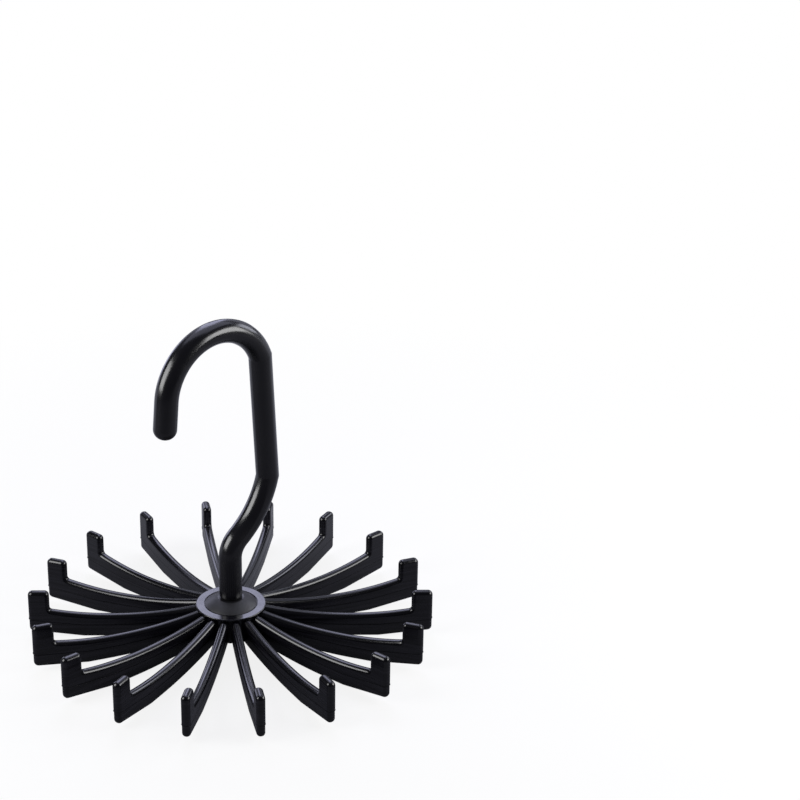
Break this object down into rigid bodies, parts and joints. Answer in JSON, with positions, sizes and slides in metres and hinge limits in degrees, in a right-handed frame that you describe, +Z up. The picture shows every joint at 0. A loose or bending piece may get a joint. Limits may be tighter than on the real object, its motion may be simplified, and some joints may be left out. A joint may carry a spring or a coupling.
{
  "type": "rotating tie hanger",
  "caption": "Black plastic tie hanger: a ring of finger-ended arms on a round hub that swivels below a cranked rail hook",
  "frame": {"origin": "on the swivel axis, in the plane that the arms' feet stand on", "axes": "+Z up along the swivel axis; the hook lies in the XZ plane with its straight shank towards +X and its tip towards -X"},
  "size_m": [0.1408, 0.1396, 0.1203],
  "materials": {
    "hook_plastic": "glossy black moulded plastic",
    "spider_plastic": "glossy black moulded plastic"
  },
  "bodies": {
    "spider": {"hub": "spider_plastic", "arm_01": "spider_plastic", "arm_02": "spider_plastic", "arm_03": "spider_plastic", "arm_04": "spider_plastic", "arm_05": "spider_plastic", "arm_06": "spider_plastic", "arm_07": "spider_plastic", "arm_08": "spider_plastic", "arm_09": "spider_plastic", "arm_10": "spider_plastic", "arm_11": "spider_plastic", "arm_12": "spider_plastic", "arm_13": "spider_plastic", "arm_14": "spider_plastic", "arm_15": "spider_plastic", "arm_16": "spider_plastic", "arm_17": "spider_plastic", "arm_18": "spider_plastic"},
    "hook": {"hook": "hook_plastic"}
  },
  "joints": [
    {"name": "hook_swivel", "type": "hinge", "parent": "spider", "child": "hook", "pos_m": [0, 0, 0.0153], "axis": [0, 0, 1], "continuous": true}
  ]
}
